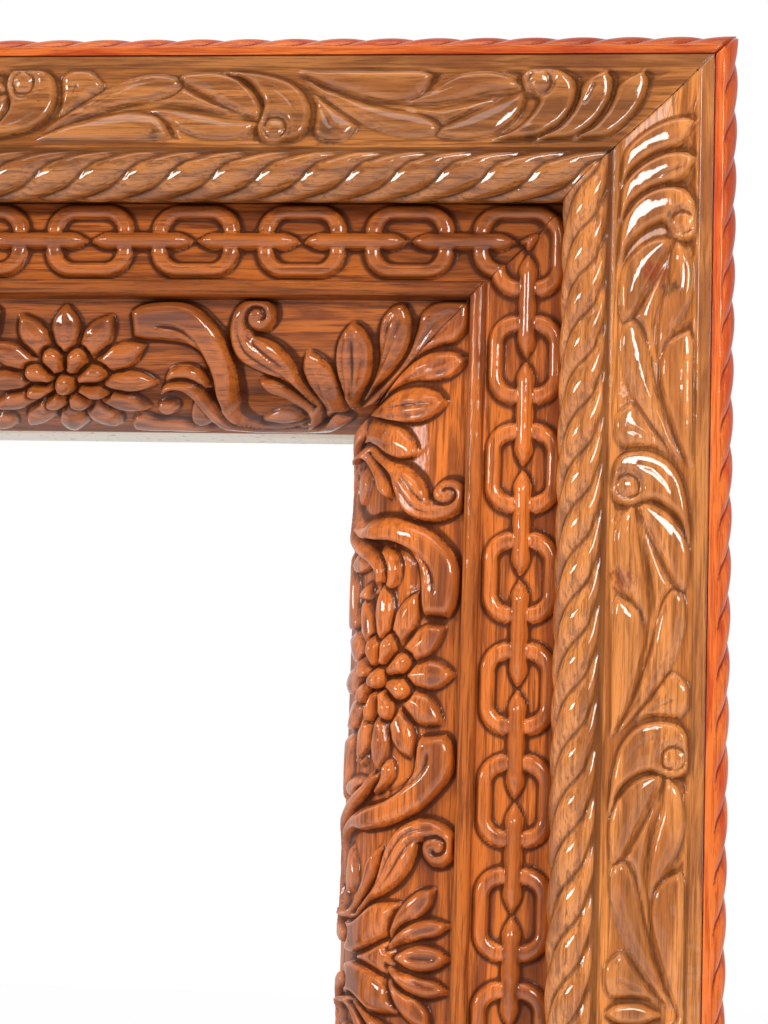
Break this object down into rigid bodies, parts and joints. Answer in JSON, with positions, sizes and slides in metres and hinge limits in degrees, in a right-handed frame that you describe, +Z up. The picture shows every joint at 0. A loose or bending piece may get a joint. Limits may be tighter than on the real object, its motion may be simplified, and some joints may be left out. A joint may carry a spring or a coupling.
{
  "type": "carved picture frame",
  "caption": "Mitred rectangular wall frame of varnished carved wood with rope, leaf, chain and flower mouldings, a rebated back and swinging hanging rings.",
  "frame": {"origin": "middle of the top side rail's flat back face, which rests against the wall", "axes": "+X to the right seen from the front, +Y back to the wall, +Z up"},
  "size_m": [0.7702, 0.1017, 0.7352],
  "materials": {
    "strip_wood": "gloss varnish over an orange-red stain",
    "outer_board_wood": "gloss varnish",
    "inner_board_wood": "gloss varnish",
    "raw_wood": "sawn, unfinished",
    "plywood": "unfinished",
    "brass_plate": "satin",
    "screw_brass": "satin"
  },
  "bodies": {
    "frame": {"back_lath_bottom": "raw_wood", "back_lath_left": "raw_wood", "back_lath_right": "raw_wood", "back_lath_top": "raw_wood", "button_screw_bottom": "screw_brass", "button_screw_left": "screw_brass", "button_screw_right": "screw_brass", "button_screw_top": "screw_brass", "chain_flower_board_bottom": "inner_board_wood", "chain_flower_board_left": "inner_board_wood", "chain_flower_board_right": "inner_board_wood", "chain_flower_board_top": "inner_board_wood", "corner_gusset_bottom_left": "plywood", "corner_gusset_bottom_right": "plywood", "corner_gusset_top_left": "plywood", "corner_gusset_top_right": "plywood", "leaf_board_bottom": "outer_board_wood", "leaf_board_left": "outer_board_wood", "leaf_board_right": "outer_board_wood", "leaf_board_top": "outer_board_wood", "outer_rope_strip_bottom": "strip_wood", "outer_rope_strip_left": "strip_wood", "outer_rope_strip_right": "strip_wood", "outer_rope_strip_top": "strip_wood", "side_rail_bottom": "raw_wood", "side_rail_left": "raw_wood", "side_rail_right": "raw_wood", "side_rail_top": "raw_wood", "strap_hanger_left": "brass_plate", "strap_hanger_right": "brass_plate", "strap_screw_left_lower": "screw_brass", "strap_screw_left_upper": "screw_brass", "strap_screw_right_lower": "screw_brass", "strap_screw_right_upper": "screw_brass"},
    "hanging_ring_left": {"hanging_ring_left": "brass_plate"},
    "hanging_ring_right": {"hanging_ring_right": "brass_plate"},
    "turn_button_bottom": {"turn_button_bottom": "brass_plate"},
    "turn_button_left": {"turn_button_left": "brass_plate"},
    "turn_button_right": {"turn_button_right": "brass_plate"},
    "turn_button_top": {"turn_button_top": "brass_plate"}
  },
  "joints": [
    {"name": "turn_button_top_turn", "type": "hinge", "parent": "frame", "child": "turn_button_top", "pos_m": [0, -0.0046, -0.1015], "axis": [0, 1, 0], "continuous": true},
    {"name": "turn_button_bottom_turn", "type": "hinge", "parent": "frame", "child": "turn_button_bottom", "pos_m": [0, -0.0046, -0.5745], "axis": [0, 1, 0], "continuous": true},
    {"name": "turn_button_right_turn", "type": "hinge", "parent": "frame", "child": "turn_button_right", "pos_m": [0.254, -0.0046, -0.338], "axis": [0, 1, 0], "continuous": true},
    {"name": "turn_button_left_turn", "type": "hinge", "parent": "frame", "child": "turn_button_left", "pos_m": [-0.254, -0.0046, -0.338], "axis": [0, 1, 0], "continuous": true},
    {"name": "hanging_ring_right_swing", "type": "hinge", "parent": "frame", "child": "hanging_ring_right", "pos_m": [0.25825, -0.00275, -0.17], "axis": [1, 0, 0], "range_deg": [0, 178]},
    {"name": "hanging_ring_left_swing", "type": "hinge", "parent": "frame", "child": "hanging_ring_left", "pos_m": [-0.25825, -0.00275, -0.17], "axis": [1, 0, 0], "range_deg": [0, 178]}
  ]
}
